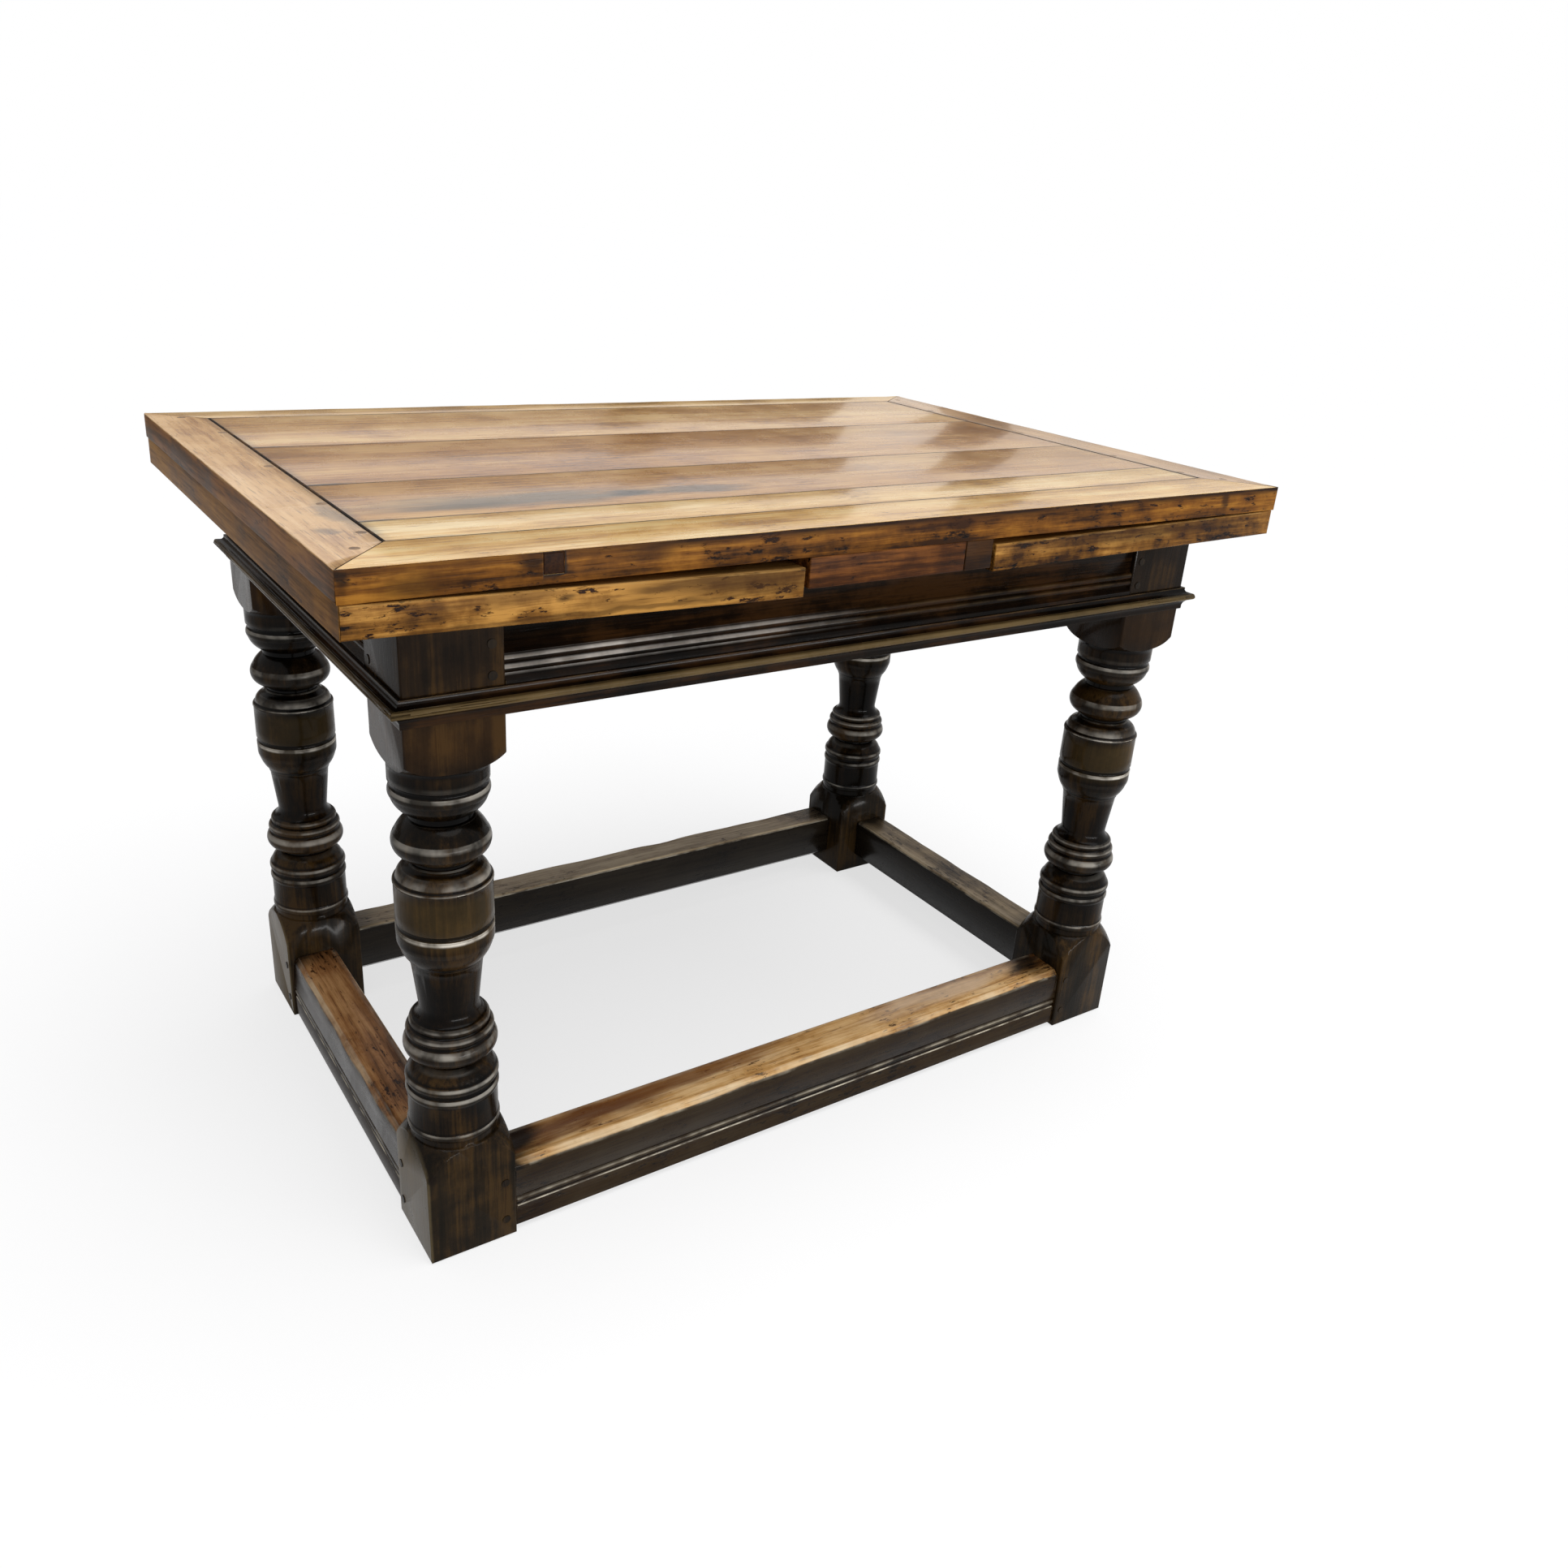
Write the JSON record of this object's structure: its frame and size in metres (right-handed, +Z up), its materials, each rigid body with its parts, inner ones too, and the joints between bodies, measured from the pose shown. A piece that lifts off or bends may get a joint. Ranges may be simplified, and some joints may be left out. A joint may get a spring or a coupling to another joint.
{
  "type": "draw-leaf table",
  "caption": "Oak draw-leaf dining table: turned legs joined by aprons and low stretchers carry a framed loose top, with a leaf to draw out from under each end.",
  "frame": {"origin": "on the floor under the middle of the top", "axes": "+X along the table towards the right leaf, +Y from the front to the rear, +Z up"},
  "size_m": [1.15, 0.752, 0.78],
  "materials": {
    "top_oak": "polished, worn",
    "leaf_oak": "waxed",
    "frame_oak": "dark, polished",
    "leg_oak": "dark, polished",
    "stretcher_oak": "dark, worn on top",
    "peg_oak": "dark end grain",
    "bearer_oak": "plain"
  },
  "bodies": {
    "frame": {"leg_front_left": "leg_oak", "leg_front_right": "leg_oak", "leg_rear_left": "leg_oak", "leg_rear_right": "leg_oak", "apron_front": "frame_oak", "apron_rear": "frame_oak", "apron_left": "frame_oak", "apron_right": "frame_oak", "moulding_front": "frame_oak", "moulding_rear": "frame_oak", "moulding_left": "frame_oak", "moulding_right": "frame_oak", "stretcher_front": "stretcher_oak", "stretcher_rear": "stretcher_oak", "stretcher_left": "stretcher_oak", "stretcher_right": "stretcher_oak", "apron_pegs": "peg_oak", "stretcher_pegs": "peg_oak", "bearer_left": "bearer_oak", "bearer_right": "bearer_oak", "centre_board": "leaf_oak", "centre_strip": "leaf_oak", "centre_pegs": "peg_oak"},
    "top": {"top_front_rail": "top_oak", "top_rear_rail": "top_oak", "top_left_clamp": "top_oak", "top_right_clamp": "top_oak", "top_board_1": "top_oak", "top_board_2": "top_oak", "top_board_3": "top_oak", "top_board_4": "top_oak", "top_edge_plug": "peg_oak", "top_clamp_pegs": "peg_oak", "top_guide_pegs": "peg_oak"},
    "left_leaf": {"left_leaf_front_rail": "leaf_oak", "left_leaf_rear_rail": "leaf_oak", "left_leaf_end_clamp": "leaf_oak", "left_leaf_board_1": "leaf_oak", "left_leaf_board_2": "leaf_oak", "left_leaf_board_3": "leaf_oak", "left_leaf_pegs": "peg_oak", "left_loper_front": "bearer_oak", "left_loper_rear": "bearer_oak"},
    "right_leaf": {"right_leaf_front_rail": "leaf_oak", "right_leaf_rear_rail": "leaf_oak", "right_leaf_end_clamp": "leaf_oak", "right_leaf_board_1": "leaf_oak", "right_leaf_board_2": "leaf_oak", "right_leaf_board_3": "leaf_oak", "right_leaf_pegs": "peg_oak", "right_loper_front": "bearer_oak", "right_loper_rear": "bearer_oak"}
  },
  "joints": [
    {"name": "left_leaf_draw", "type": "slide", "parent": "frame", "child": "left_leaf", "axis": [-1, 0, 0], "range_m": [0, 0.442]},
    {"name": "right_leaf_draw", "type": "slide", "parent": "frame", "child": "right_leaf", "axis": [1, 0, 0], "range_m": [0, 0.462]},
    {"name": "top_lift", "type": "slide", "parent": "frame", "child": "top", "axis": [0, 0, 1], "range_m": [0, 0.045]}
  ]
}
